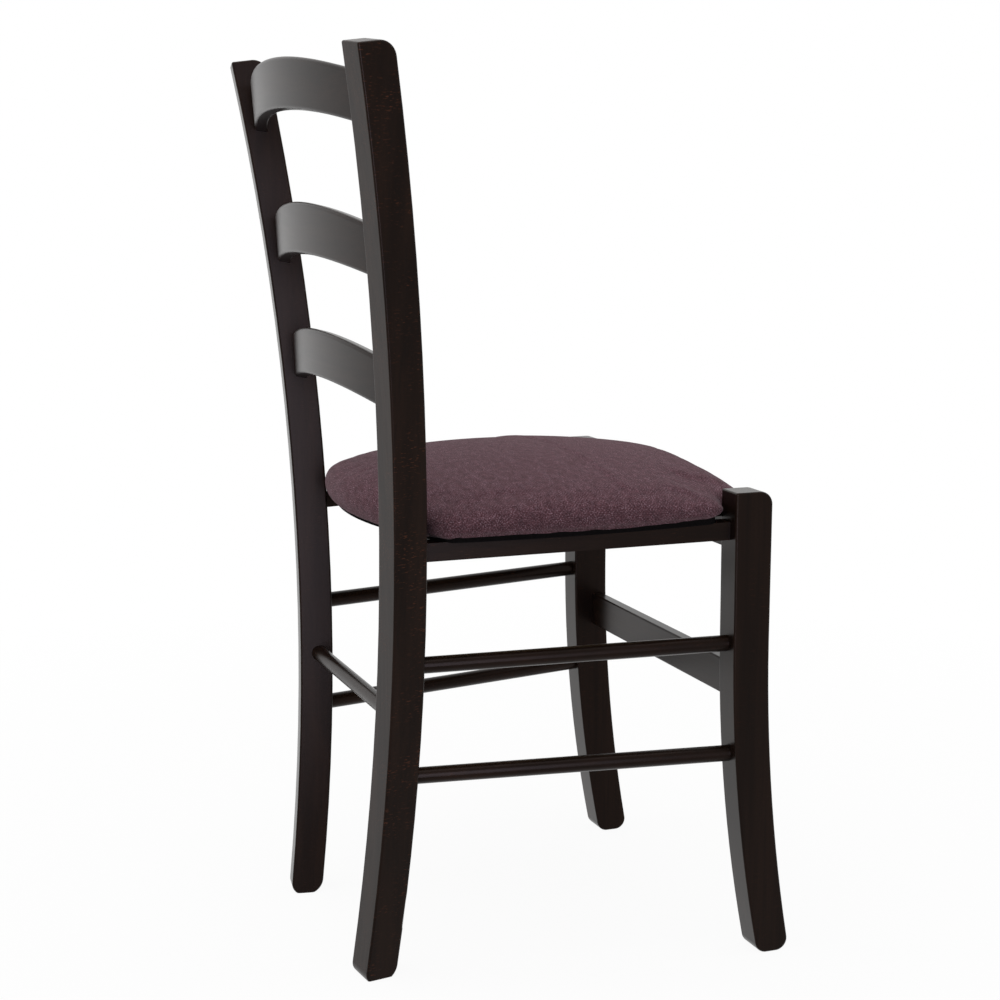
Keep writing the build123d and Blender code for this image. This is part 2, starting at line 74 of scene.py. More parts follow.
# Wooden nodes, grouped by the way their grain runs and by how much of it shows
FLECKED_NODES = ("right_back_post",)
UPRIGHT_NODES = ("left_back_post", "right_front_leg", "left_front_leg")
CROSS_NODES = (
    "top_slat",
    "middle_slat",
    "lower_slat",
    "front_seat_rail",
    "back_seat_rail",
    "back_rung",
    "front_stretcher",
)
SIDE_NODES = (
    "right_seat_rail",
    "left_seat_rail",
    "right_upper_rung",
    "right_lower_rung",
    "left_upper_rung",
    "left_lower_rung",
)
X_AXIS, Y_AXIS, Z_AXIS = range(3)

# Scales of the wood's patterns along their length, and its smaller colours
GRAIN_ALONG = 0.035
RAY_ALONG = 0.10
RAY_ACROSS = 1.2
PORE_COLOUR = (0.0030, 0.0020, 0.0016)
LACQUER_TINT = (0.26, 0.20, 0.18)

# Scale of a yarn's tones along the yarn
YARN_ALONG = 0.16

# Dark and light colours of the hem's near-black cloth, which is painted shade under the pad, and of the
# pieces that hardly show
HEM_SHADE_COLOURS = ((0.0035, 0.0030, 0.0031), (0.0085, 0.0072, 0.0075))
PLYWOOD_COLOURS = ((0.36, 0.24, 0.13), (0.60, 0.44, 0.27))
ZINC_COLOURS = ((0.42, 0.42, 0.41), (0.62, 0.62, 0.60))

# Points of a CAD mesh that are closer than this are one point
MERGE_DISTANCE = 0.00002

# Smoothing and swelling of the pad; the front settles less than the back
SMOOTHING = 0.5
EVEN_STEPS = 5
SWELL_STEPS = 20
FRONT_SETTLE = 0.4

# The filling of the sides ends this many filled heights up
FILL_END = 1.5

# Band of the pad's side that counts as its rim, and how far its faces may tilt
RIM_LOW = 0.006
RIM_HIGH = 0.020
RIM_TILT = 0.6

# How far the rim faces backward where the back edge starts, and until it is reached
BACK_START = 0.35
BACK_RANGE = 0.3

# Flat middle of the underside, which is drawn up into the board
MIDDLE_HEIGHT = 0.004
MIDDLE_INSET = 0.004
MIDDLE_LIFT = 0.003

# Hem: the cut through the cover, and the strip round the board's edge
HEM_CUT = 0.00125
EDGE_TILT = 0.3
WRAP_OFFSET = 0.0008
WRAP_LEVEL = 0.005
HEM_CREASE = math.radians(35)

# Staples: a bowed row at the back, a straight row at the front and two at each side
BACK_ROW = range(-4, 5)
BACK_SPACING = 0.028
BACK_SETBACK = 0.300
BACK_BOW = 1.4
FRONT_ROW = range(-5, 6)
FRONT_SPACING = 0.030
FRONT_SETBACK = -0.002
SIDE_ACROSS = 0.171
SIDE_SETBACKS = (0.028, 0.058)
STAPLE_LEVEL = -0.0001
STAPLE_THICKNESS = 0.0006

# Floor: its grey, and the distances over which it turns from nearly white to white
FLOOR_SIZE = 30.0
FLOOR_COLOUR = (0.86, 0.86, 0.86, 1.0)
FLOOR_FADE = (0.35, 1.5)
FLOOR_WHITE = (0.94, 1.0)

# Soft boxes: place, target and width of each
TOP_BOX = ((-0.3, 0.3, 2.6), (0.0, 0.0, 0.45), 2.2)
BACK_BOX = ((0.6, 2.6, 1.3), (0.0, 0.0, 0.5), 1.8)
GLOSS_BOX = ((-2.1, 0.40, 0.62), (0.14, 0.16, 0.65), 1.0)
GLOSS_BOX_HEIGHT = 1.3
GLOSS_COLOUR = (0.68, 0.78, 1.0)

WHITE = (1.0, 1.0, 1.0, 1.0)
SENSOR_WIDTH = 36.0


class ChairFinish(bpy.types.PropertyGroup):
    """Colours and textures of the chair."""

    stain_dark: bpy.props.FloatVectorProperty(
        name="Dark stain", description="Colour between the wood's pores",
        subtype="COLOR", size=3, min=0, max=1, default=(0.0062, 0.0031, 0.0021),
    )
    stain_light: bpy.props.FloatVectorProperty(
        name="Light stain", description="Colour of the wood's lighter bands",
        subtype="COLOR", size=3, min=0, max=1, default=(0.0145, 0.0072, 0.0048),
    )
    fleck: bpy.props.FloatVectorProperty(
        name="Flecks", description="Colour of the short rays that show through the stain",
        subtype="COLOR", size=3, min=0, max=1, default=(0.060, 0.021, 0.011),
    )
    wood_roughness: bpy.props.FloatProperty(
        name="Wood roughness", description="Roughness of the satin lacquer",
        subtype="FACTOR", min=0, max=1, default=0.28,
    )
    yarn_dark: bpy.props.FloatVectorProperty(
        name="Dark yarn", description="Darker yarn of the fabric",
        subtype="COLOR", size=3, min=0, max=1, default=(0.0465, 0.0163, 0.0215),
    )
    yarn_light: bpy.props.FloatVectorProperty(
        name="Light yarn", description="Lighter yarn of the fabric",
        subtype="COLOR", size=3, min=0, max=1, default=(0.114, 0.0495, 0.0618),
    )
    yarn_speck: bpy.props.FloatVectorProperty(
        name="Specks", description="Pale fibres in the yarn",
        subtype="COLOR", size=3, min=0, max=1, default=(0.262, 0.166, 0.205),
    )
    thread_pitch: bpy.props.FloatProperty(
        name="Thread pitch", description="Distance from one thread to the next",
        subtype="DISTANCE", unit="LENGTH", min=0.0005, max=0.01, default=0.0017, precision=4,
    )


class ChairPad(bpy.types.PropertyGroup):
    """Sizes of the seat pad's fabric and of its staples."""

    voxel: bpy.props.FloatProperty(
        name="Mesh size", description="Size of the pad's cells before the fabric swells",
        subtype="DISTANCE", unit="LENGTH", min=0.003, max=0.01, default=0.004, precision=4,
    )
    pressure: bpy.props.FloatProperty(
        name="Foam pressure", description="How hard the foam pushes the cover out",
        min=0, max=20, default=4.0,
    )
    swell_limit: bpy.props.FloatProperty(
        name="Swell limit", description="The farthest that the cover may move as it swells",
        subtype="DISTANCE", unit="LENGTH", min=0, max=0.02, default=0.0022, precision=4,
    )
    held_height: bpy.props.FloatProperty(
        name="Held height", description="Height above the rails below which the cover is held by its hem",
        subtype="DISTANCE", unit="LENGTH", min=0, max=0.02, default=0.006, precision=4,
    )
    round_height: bpy.props.FloatProperty(
        name="Rounded height", description="Height over which the sides turn fully soft",
        subtype="DISTANCE", unit="LENGTH", min=0.001, max=0.05, default=0.012, precision=4,
    )
    round_steps: bpy.props.IntProperty(
        name="Rounding", description="How far the top's edge is rounded over",
        min=0, max=100, default=28,
    )
    side_fill: bpy.props.FloatProperty(
        name="Side filling", description="How far the foam fills the sides out",
        subtype="DISTANCE", unit="LENGTH", min=0, max=0.01, default=0.0034, precision=4,
    )
    fill_height: bpy.props.FloatProperty(
        name="Filled height", description="Height of the side that is filled out",
        subtype="DISTANCE", unit="LENGTH", min=0.005, max=0.06, default=0.042, precision=4,
    )
    fill_start: bpy.props.FloatProperty(
        name="Filling start", description="Height over which the filling grows above the hem",
        subtype="DISTANCE", unit="LENGTH", min=0.001, max=0.05, default=0.010, precision=4,
    )
    back_fill: bpy.props.FloatProperty(
        name="Back filling", description="Share by which the back edge is filled out more",
        subtype="FACTOR", min=0, max=2, default=0.6,
    )
    crown_setback: bpy.props.FloatProperty(
        name="Crown setback", description="Distance of the highest place from the front legs",
        subtype="DISTANCE", unit="LENGTH", min=0, max=0.3, default=0.10, precision=4,
    )
    crown_bend: bpy.props.FloatProperty(
        name="Crown bend", description="Settling per square metre away from the highest place",
        min=0, max=1000, default=250.0,
    )
    crown_settle: bpy.props.FloatProperty(
        name="Crown settling", description="The most that the pad settles behind its highest place",
        subtype="DISTANCE", unit="LENGTH", min=0, max=0.02, default=0.002, precision=4,
    )
    lip_lift: bpy.props.FloatProperty(
        name="Lip lift", description="How far the pad's lower lip stands off the rails",
        subtype="DISTANCE", unit="LENGTH", min=0, max=0.01, default=0.0060, precision=4,
    )
    back_hold: bpy.props.FloatProperty(
        name="Held at the back", description="Share of the lift that the back edge doesn't have",
        subtype="FACTOR", min=0, max=1, default=0.7,
    )
    lip_width: bpy.props.FloatProperty(
        name="Lip width", description="How far in from its edge the pad rests on the rails",
        subtype="DISTANCE", unit="LENGTH", min=0.002, max=0.03, default=0.0095, precision=4,
    )
    lip_turn: bpy.props.FloatProperty(
        name="Lip turn", description="Width over which the lip turns down to the rails",
        subtype="DISTANCE", unit="LENGTH", min=0.001, max=0.02, default=0.004, precision=4,
    )
    lip_height: bpy.props.FloatProperty(
        name="Lip height", description="Height of the side that the lift draws up",
        subtype="DISTANCE", unit="LENGTH", min=0.002, max=0.03, default=0.016, precision=4,
    )
    staple_length: bpy.props.FloatProperty(
        name="Staple length", description="Length of one staple's crown",
        subtype="DISTANCE", unit="LENGTH", min=0.004, max=0.02, default=0.010, precision=4,
    )
    staple_wire: bpy.props.FloatProperty(
        name="Staple wire", description="Width of a staple's wire",
        subtype="DISTANCE", unit="LENGTH", min=0.0005, max=0.003, default=0.0012, precision=4,
    )


class ChairStage(bpy.types.PropertyGroup):
    """Camera and light."""

    camera_place: bpy.props.FloatVectorProperty(
        name="Camera place", description="Where the camera stands",
        subtype="TRANSLATION", unit="LENGTH", size=3, default=(-1.8842, 0.7112, 0.7777),
    )
    camera_look: bpy.props.FloatVectorProperty(
        name="Camera direction", description="Where the camera looks",
        subtype="DIRECTION", size=3, default=(0.92200, -0.34923, -0.16721),
    )
    lens: bpy.props.FloatProperty(
        name="Lens", description="Focal length on a 36 mm sensor, in millimetres",
        min=10, max=300, default=71.86,
    )
    sky: bpy.props.FloatProperty(
        name="Ambient light", description="Strength of the even light from all round",
        min=0, max=4, default=0.45,
    )
    top_watts: bpy.props.FloatProperty(
        name="Top light", description="Power of the soft box above",
        min=0, max=500, default=34.0,
    )
    back_watts: bpy.props.FloatProperty(
        name="Back light", description="Power of the soft box behind the chair's back",
        min=0, max=500, default=14.0,
    )
    gloss_watts: bpy.props.FloatProperty(
        name="Gloss light", description="Power of the soft box that only the lacquer mirrors",
        min=0, max=500, default=36.0,
    )


def clamped(share):
    """A share kept between zero and one."""
    return min(max(share, 0.0), 1.0)


def deselect():
    """Leave edit mode and select nothing."""
    if bpy.context.object and bpy.context.object.mode != "OBJECT":
        bpy.ops.object.mode_set(mode="OBJECT")
    bpy.ops.object.select_all(action="DESELECT")


def make_active(piece):
    """Select one piece alone and make it active."""
    deselect()
    piece.select_set(True)
    bpy.context.view_layer.objects.active = piece


def copy_of_node(node, name):
    """A separate object with a merged copy of a CAD node's mesh, with no material."""
    source = frame["nodes"][node]
    piece = bpy.data.objects.new(name, source.data.copy())
    bpy.context.scene.collection.objects.link(piece)
    piece.data.materials.clear()
    make_active(piece)
    bpy.ops.object.mode_set(mode="EDIT")
    bpy.ops.mesh.select_all(action="SELECT")
    bpy.ops.mesh.remove_doubles(threshold=MERGE_DISTANCE)
    bpy.ops.object.mode_set(mode="OBJECT")
    return piece


def apply_modifier(piece, name):
    """Apply one modifier of a piece."""
    make_active(piece)
    bpy.ops.object.modifier_apply(modifier=name)


def seat_height(point):
    """Height of a point above the rails' tops."""
    return (point - SEAT_ORIGIN).dot(SEAT_UP)


def seat_point(across, setback, height):
    """A point given in the seat plane: to the left, backward from the legs, and up."""
    return SEAT_ORIGIN + Vector((across, 0.0, 0.0)) + SEAT_BACKWARD * setback + SEAT_UP * height


class Finish:
    """A node material under way."""

    def __init__(self, name):
        self.material = bpy.data.materials.new(name)
        self.material.use_nodes = True
        self.nodes = self.material.node_tree.nodes
        self.links = self.material.node_tree.links
        self.shader = self.nodes["Principled BSDF"]

    def node(self, kind, **values):
        """Add a node; names with a capital set an input, the others set a property."""
        made = self.nodes.new(kind)
        for key, value in values.items():
            if key[0].isupper():
                made.inputs[key.replace("_", " ")].default_value = value
            else:
                setattr(made, key, value)
        return made

    def link(self, source, target):
        """Join an output to an input."""
        self.links.new(source, target)

    def ramp(self, source, stops):
        """A colour ramp fed by one value."""
        made = self.nodes.new("ShaderNodeValToRGB")
        bar = made.color_ramp
        for element, (place, colour) in zip(bar.elements, stops):
            element.position = place
            element.color = (*colour, 1.0)
        self.link(source, made.inputs["Fac"])
        return made.outputs["Color"]

    def span(self, source, given, wanted):
        """Stretch a value from one range to another and keep it inside."""
        made = self.node(
            "ShaderNodeMapRange",
            From_Min=given[0], From_Max=given[1], To_Min=wanted[0], To_Max=wanted[1],
        )
        self.link(source, made.inputs["Value"])
        return made.outputs["Result"]

    def maths(self, operation, *values):
        """A sum on outputs and plain numbers."""
        made = self.node("ShaderNodeMath", operation=operation)
        for value, socket in zip(values, made.inputs):
            if hasattr(value, "is_output"):
                self.link(value, socket)
            else:
                socket.default_value = value
        return made.outputs[0]

    def scaled(self, vector, scale):
        """A vector scaled axis by axis."""
        made = self.node("ShaderNodeMapping", Scale=scale)
        self.link(vector, made.inputs["Vector"])
        return made.outputs["Vector"]

    def placed(self, scale=(1.0, 1.0, 1.0)):
        """Object coordinates, scaled axis by axis."""
        return self.scaled(self.node("ShaderNodeTexCoord").outputs["Object"], scale)

    def noise(self, vector, scale, detail, roughness=0.5):
        """Noise on a vector."""
        made = self.node("ShaderNodeTexNoise", Scale=scale, Detail=detail, Roughness=roughness)
        self.link(vector, made.inputs["Vector"])
        return made.outputs["Fac"]

    def mixed(self, share, first, second):
        """Blend two colours by a share that a node gives."""
        made = self.node("ShaderNodeMix", data_type="RGBA")
        self.link(share, made.inputs["Factor"])
        for colour, socket in ((first, made.inputs["A"]), (second, made.inputs["B"])):
            if hasattr(colour, "is_output"):
                self.link(colour, socket)
            else:
                socket.default_value = (*colour, 1.0)
        return made.outputs["Result"]

    def bump(self, height, strength, distance):
        """Bump from a height, onto the shader."""
        made = self.node("ShaderNodeBump", Strength=strength, Distance=distance)
        self.link(height, made.inputs["Height"])
        self.link(made.outputs["Normal"], self.shader.inputs["Normal"])


def stained_wood(name, along, figure):
    """Dark stained beech; along is the axis of the grain and figure how much of it shows."""
    finish = bpy.context.scene.chair_finish
    made = Finish(name)
    grain_scale = [1.0, 1.0, 1.0]
    grain_scale[along] = GRAIN_ALONG
    grain = made.noise(made.placed(grain_scale), scale=260.0, detail=6.0, roughness=0.62)
    bands = made.noise(made.placed(grain_scale), scale=60.0, detail=3.0)
    bands_share = made.span(bands, (0.35, 0.68), (0.0, 1.0))
    stain = made.mixed(bands_share, finish.stain_dark, finish.stain_light)
    stain = made.mixed(made.span(grain, (0.30, 0.52), (0.6, 0.0)), stain, PORE_COLOUR)
    stain = made.mixed(ray_flecks(made, along, figure), stain, finish.fleck)
    made.link(stain, made.shader.inputs["Base Color"])
    rough = finish.wood_roughness
    sheen = made.span(grain, (0.3, 0.7), (rough + 0.06 * figure, rough))
    made.link(sheen, made.shader.inputs["Roughness"])
    made.shader.inputs["IOR"].default_value = 1.38
    made.shader.inputs["Specular Tint"].default_value = (*LACQUER_TINT, 1.0)
    made.bump(grain, strength=0.10 * figure, distance=0.0004)
    return made.material


def ray_flecks(made, along, figure):
    """Share of the flecks: short rays in patches, along a piece and across an upright one."""
    ray_scale = [RAY_ACROSS, 1.0, 1.0]
    ray_scale[X_AXIS if along == X_AXIS else Y_AXIS] = RAY_ALONG
    rays = made.noise(made.placed(ray_scale), scale=900.0, detail=1.0, roughness=0.4)
    patches = made.noise(made.placed(), scale=26.0, detail=2.0)
    rays_share = made.span(rays, (0.655 - 0.035 * figure, 0.72), (0.0, 0.85 * figure))
    patches_share = made.span(patches, (0.42, 0.60), (0.10, 1.0))
    return made.maths("MULTIPLY", rays_share, patches_share)


def plum_fabric():
    """Heathered plain weave on the piece's own UV map, in metres."""
    finish = bpy.context.scene.chair_finish
    made = Finish("plum_fabric")
    place = made.node("ShaderNodeUVMap", uv_map="weave").outputs["UV"]
    weave = plain_weave(made, place, finish.thread_pitch)
    tone = woven_yarns(made, place, weave)
    tone = pale_fibres(made, place, tone)
    clouds = made.noise(place, scale=165.0, detail=4.0, roughness=0.65)
    shaded = made.node("ShaderNodeVectorMath", operation="SCALE")
    made.link(tone, shaded.inputs[0])
    made.link(made.span(clouds, (0.32, 0.68), (0.70, 1.30)), shaded.inputs["Scale"])
    made.link(shaded.outputs["Vector"], made.shader.inputs["Base Color"])
    made.shader.inputs["Roughness"].default_value = 0.95
    made.shader.inputs["IOR"].default_value = 1.2
    made.shader.inputs["Sheen Weight"].default_value = 0.07
    made.shader.inputs["Sheen Roughness"].default_value = 0.5
    made.bump(weave, strength=0.45, distance=0.0003)
    return made.material


def plain_weave(made, place, thread_pitch):
    """Over and under of a plain weave: above zero where the warp lies on top."""
    split = made.node("ShaderNodeSeparateXYZ")
    made.link(place, split.inputs["Vector"])
    waves = []
    for axis in ("X", "Y"):
        angle = made.maths("MULTIPLY", split.outputs[axis], math.pi / thread_pitch)
        waves.append(made.maths("SINE", angle))
    return made.maths("MULTIPLY", *waves)


def woven_yarns(made, place, weave):
    """Darker weft and lighter warp, each with its own tones, and painted shade in the gaps between the
    threads.
    """
    finish = bpy.context.scene.chair_finish
    warp = made.noise(made.scaled(place, (1.0, YARN_ALONG, 1.0)), scale=640.0, detail=2.0)
    weft = made.noise(made.scaled(place, (YARN_ALONG, 1.0, 1.0)), scale=640.0, detail=2.0)
    yarns = []
    for thread, tones in ((weft, (0.0, 0.50)), (warp, (0.45, 1.0))):
        share = made.span(thread, (0.34, 0.66), tones)
        yarns.append(made.mixed(share, finish.yarn_dark, finish.yarn_light))
    tone = made.mixed(made.span(weave, (-0.25, 0.25), (0.0, 1.0)), *yarns)
    depth = made.maths("ABSOLUTE", weave)
    # Half the dark yarn's colour where the threads meet: painted shade in the gaps of the weave
    gap_shade = tuple(0.5 * part for part in finish.yarn_dark)
    return made.mixed(made.span(depth, (0.0, 0.30), (0.55, 0.0)), tone, gap_shade)


def pale_fibres(made, place, tone):
    """Pale specks in patches, and a few pale slubs along the weft."""
    speck = bpy.context.scene.chair_finish.yarn_speck
    fibres = made.noise(place, scale=900.0, detail=1.0)
    heather = made.noise(place, scale=95.0, detail=3.0)
    slubs = made.noise(made.scaled(place, (YARN_ALONG, 1.0, 1.0)), scale=210.0, detail=2.0)
    fibres_share = made.span(fibres, (0.52, 0.68), (0.0, 0.9))
    heather_share = made.span(heather, (0.34, 0.66), (0.45, 1.0))
    tone = made.mixed(made.maths("MULTIPLY", fibres_share, heather_share), tone, speck)
    return made.mixed(made.span(slubs, (0.52, 0.70), (0.0, 0.10)), tone, speck)


def two_tones(made, pattern, colours):
    """Colour a finish by a pattern, from its dark colour to its light one."""
    dark, light = colours
    tone = made.ramp(pattern, ((0.3, dark), (0.7, light)))
    made.link(tone, made.shader.inputs["Base Color"])


def painted_shade_hem():
    """Near-black cloth along the cover's lower edge: painted shade for the black line that shows under
    the pad.
    """
    made = Finish("painted_shade_hem")
    shade_mottle = made.noise(made.placed(), scale=900.0, detail=3.0)
    two_tones(made, shade_mottle, HEM_SHADE_COLOURS)
    made.shader.inputs["Roughness"].default_value = 0.98
    made.shader.inputs["IOR"].default_value = 1.1
    made.bump(shade_mottle, strength=0.2, distance=0.0003)
    return made.material


def plywood():
    """Pale plywood with grain across the seat."""
    made = Finish("plywood")
    grain = made.noise(made.placed((0.05, 1.0, 1.0)), scale=190.0, detail=5.0, roughness=0.6)
    two_tones(made, grain, PLYWOOD_COLOURS)
    made.link(made.span(grain, (0.3, 0.7), (0.7, 0.55)), made.shader.inputs["Roughness"])
    made.bump(grain, strength=0.1, distance=0.0004)
    return made.material


def zinc():
    """Dull zinc plate on screws and staples."""
    made = Finish("zinc")
    cloudy = made.noise(made.placed(), scale=420.0, detail=3.0)
    two_tones(made, cloudy, ZINC_COLOURS)
    made.link(made.span(cloudy, (0.3, 0.7), (0.3, 0.45)), made.shader.inputs["Roughness"])
    made.shader.inputs["Metallic"].default_value = 1.0
    return made.material


def dress(node, material):
    """Give a CAD node one material."""
    mesh = frame["nodes"][node].data
    mesh.materials.clear()
    mesh.materials.append(material)


class CHAIR_OT_finish_frame(bpy.types.Operator):
    """Stain the posts, legs, slats, rails, rungs and stretcher"""

    bl_idname = "chair.finish_frame"
    bl_label = "Finish the wooden frame"

    def execute(self, context):
        for name, along, figure, nodes in (
            ("stained_wood_flecked", Z_AXIS, 1.15, FLECKED_NODES),
            ("stained_wood_upright", Z_AXIS, 0.2, UPRIGHT_NODES),
            ("stained_wood_across", X_AXIS, 0.2, CROSS_NODES),
            ("stained_wood_along", Y_AXIS, 0.3, SIDE_NODES),
        ):
            material = stained_wood(name, along, figure)
            for node in nodes:
                dress(node, material)
        return {"FINISHED"}


class CHAIR_OT_finish_hidden(bpy.types.Operator):
    """Finish the seat board and the screws under the seat"""

    bl_idname = "chair.finish_hidden"
    bl_label = "Finish the board and screws"

    def execute(self, context):
        dress("seat_board", plywood())
        dress("seat_screws", zinc())
        return {"FINISHED"}


class CHAIR_OT_seat_pad(bpy.types.Operator):
    """Swell the fabric over the foam"""

    bl_idname = "chair.seat_pad"
    bl_label = "Make the seat pad"

    def execute(self, context):
        sizes = context.scene.chair_pad
        board = copy_of_node("seat_board", "board_copy")
        pad = copy_of_node("seat_foam", "seat_pad")
        board.select_set(True)
        bpy.ops.object.join()
        remesh = pad.modifiers.new("cells", "REMESH")
        remesh.mode = "VOXEL"
        remesh.voxel_size = sizes.voxel
        apply_modifier(pad, "cells")
        self.round_over(pad, sizes)
        self.settle(pad, sizes)
        self.swell(pad, sizes)
        self.fill_out(pad, sizes)
        self.shape_underside(pad, sizes)
        finer = pad.modifiers.new("finer", "SUBSURF")
        finer.levels = 1
        finer.render_levels = 1
        apply_modifier(pad, "finer")
        self.map_weave(pad)
        bpy.ops.object.shade_smooth()
        pad.data.materials.append(plum_fabric())
        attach(pad, "root")
        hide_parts("seat_foam", "seat_cover")
        return {"FINISHED"}

    def flattened(self, point):
        """A point's place in the seat plane."""
        return Vector((point.x, (point - SEAT_ORIGIN).dot(SEAT_BACKWARD), 0.0))

    def round_over(self, pad, sizes):
        """Smooth the cells, most of all from the top's edge down the sides."""
        upper = pad.vertex_groups.new(name="upper")
        for vertex in pad.data.vertices:
            share = (seat_height(vertex.co) - sizes.held_height) / sizes.round_height
            upper.add([vertex.index], clamped(share), "REPLACE")
        even = pad.modifiers.new("even", "SMOOTH")
        even.factor = SMOOTHING
        even.iterations = EVEN_STEPS
        apply_modifier(pad, "even")
        roll = pad.modifiers.new("roll", "SMOOTH")
        roll.factor = SMOOTHING
        roll.iterations = sizes.round_steps
        roll.vertex_group = "upper"
        apply_modifier(pad, "roll")
        pad.vertex_groups.clear()

    def settle(self, pad, sizes):
        """Lower the top in front of its highest place and behind it."""
        for vertex in pad.data.vertices:
            upper = clamped((seat_height(vertex.co) - sizes.round_height) / sizes.round_height)
            away = self.flattened(vertex.co).y - sizes.crown_setback
            most = sizes.crown_settle * (1.0 if away > 0 else FRONT_SETTLE)
            drop = min(sizes.crown_bend * away * away, most)
            vertex.co = vertex.co - SEAT_UP * (drop * upper)

    def swell(self, pad, sizes):
        """Let the foam push the cover out, held along the hem."""
        start = [vertex.co.copy() for vertex in pad.data.vertices]
        held = pad.vertex_groups.new(name="held")
        low = [vertex.index for vertex in pad.data.vertices if seat_height(vertex.co) < sizes.held_height]
        held.add(low, 1.0, "REPLACE")
        cloth = pad.modifiers.new("swell", "CLOTH")
        cloth.settings.vertex_group_mass = "held"
        cloth.settings.use_pressure = True
        cloth.settings.uniform_pressure_force = sizes.pressure
        cloth.settings.effector_weights.gravity = 0.0
        scene = bpy.context.scene
        for step in range(1, SWELL_STEPS + 1):
            scene.frame_set(step)
        apply_modifier(pad, "swell")
        scene.frame_set(1)
        for vertex, place in zip(pad.data.vertices, start):
            move = vertex.co - place
            if move.length > sizes.swell_limit:
                vertex.co = place + move.normalized() * sizes.swell_limit
        pad.vertex_groups.clear()

    def fill_out(self, pad, sizes):
        """Push the sides back out by what the smoothing drew in."""
        moves = []
        for vertex in pad.data.vertices:
            level = vertex.normal - SEAT_UP * vertex.normal.dot(SEAT_UP)
            height = seat_height(vertex.co)
            share = clamped(FILL_END - height / sizes.fill_height)
            share *= clamped((height - sizes.held_height) / sizes.fill_start)
            share *= 1.0 + sizes.back_fill * max(vertex.normal.dot(SEAT_BACKWARD), 0.0)
            moves.append(level * (sizes.side_fill * share))
        for vertex, move in zip(pad.data.vertices, moves):
            vertex.co = vertex.co + move

    def is_rim(self, vertex):
        """Whether a point lies on the steep lower band of the pad's side."""
        steep = abs(vertex.normal.dot(SEAT_UP)) < RIM_TILT
        return steep and RIM_LOW < seat_height(vertex.co) < RIM_HIGH

    def shape_underside(self, pad, sizes):
        """Lift the lip off the rails, and draw the flat middle up into the board."""
        rim = [vertex for vertex in pad.data.vertices if self.is_rim(vertex)]
        faces_back = [vertex.normal.dot(SEAT_BACKWARD) for vertex in rim]
        tree = kdtree.KDTree(len(rim))
        for index, vertex in enumerate(rim):
            tree.insert(self.flattened(vertex.co), index)
        tree.balance()
        moves = []
        for vertex in pad.data.vertices:
            height = seat_height(vertex.co)
            nearest, index, inset = tree.find(self.flattened(vertex.co))
            behind = clamped((faces_back[index] - BACK_START) / BACK_RANGE)
            low = clamped(1.0 - height / sizes.lip_height)
            outer = clamped((sizes.lip_width - inset) / sizes.lip_turn)
            lift = sizes.lip_lift * low * outer * (1.0 - sizes.back_hold * behind)
            if height < MIDDLE_HEIGHT and inset > sizes.lip_width + MIDDLE_INSET:
                lift = MIDDLE_LIFT
            moves.append(lift)
        for vertex, lift in zip(pad.data.vertices, moves):
            vertex.co = vertex.co + SEAT_UP * lift

    def map_weave(self, pad):
        """Box-project a UV map in metres, for the weave."""
        make_active(pad)
        pad.data.uv_layers.new(name="weave")
        bpy.ops.object.mode_set(mode="EDIT")
        bpy.ops.mesh.select_all(action="SELECT")
        bpy.ops.uv.cube_project(cube_size=1.0, correct_aspect=False, scale_to_bounds=False)
        bpy.ops.object.mode_set(mode="OBJECT")


class CHAIR_OT_cover_hem(bpy.types.Operator):
    """Cut the turned-under hem from the cover"""

    bl_idname = "chair.cover_hem"
    bl_label = "Make the cover's hem"

    def execute(self, context):
        wrap = self.edge_wrap()
        hem = copy_of_node("seat_cover", "cover_hem")
        bpy.ops.object.mode_set(mode="EDIT")
        bpy.ops.mesh.select_all(action="SELECT")
        cut = SEAT_ORIGIN + SEAT_UP * HEM_CUT
        bpy.ops.mesh.bisect(plane_co=cut, plane_no=SEAT_UP, clear_outer=True, use_fill=False)
        bpy.ops.object.mode_set(mode="OBJECT")
        self.draw_in(hem, wrap)
        make_active(hem)
        wrap.select_set(True)
        bpy.ops.object.join()
        bpy.ops.object.shade_smooth_by_angle(angle=HEM_CREASE)
        hem.data.materials.clear()
        # The hem and the edge strip get near-black cloth: painted shade under the pad
        hem.data.materials.append(painted_shade_hem())
        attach(hem, "root")
        return {"FINISHED"}

    def edge_wrap(self):
        """The strip of cover that turns round the board's edge."""
        wrap = copy_of_node("seat_board", "edge_wrap")
        self.select_nothing("FACE")
        for polygon in wrap.data.polygons:
            polygon.select = abs(polygon.normal.dot(SEAT_UP)) > EDGE_TILT
        bpy.ops.object.mode_set(mode="EDIT")
        bpy.ops.mesh.delete(type="FACE")
        self.select_nothing("VERT")
        widest = max(wrap.data.vertices, key=lambda vertex: vertex.co.x)
        widest.select = True
        bpy.ops.object.mode_set(mode="EDIT")
        bpy.ops.mesh.select_linked()
        bpy.ops.mesh.select_all(action="INVERT")
        bpy.ops.mesh.delete(type="VERT")
        bpy.ops.mesh.select_all(action="SELECT")
        bpy.ops.transform.shrink_fatten(value=WRAP_OFFSET)
        bpy.ops.object.mode_set(mode="OBJECT")
        return wrap

    def select_nothing(self, kind):
        """Leave the active piece in object mode with nothing selected, ready to pick verts or faces."""
        bpy.ops.object.mode_set(mode="EDIT")
        bpy.ops.mesh.select_mode(type=kind)
        bpy.ops.mesh.select_all(action="DESELECT")
        bpy.ops.object.mode_set(mode="OBJECT")

    def draw_in(self, hem, wrap):
        """Draw the hem's outer strip in to the edge wrap."""
        corners = [vertex.co.copy() for vertex in wrap.data.vertices]
        faces = [tuple(face.vertices) for face in wrap.data.polygons]
        tree = bvhtree.BVHTree.FromPolygons(corners, faces)
        for vertex in hem.data.vertices:
            height = seat_height(vertex.co)
            probe = vertex.co + SEAT_UP * (WRAP_LEVEL - height)
            place, normal, index, distance = tree.find_nearest(probe)
            if (probe - place).dot(normal) > 0:
                vertex.co = place + SEAT_UP * (height - seat_height(place))


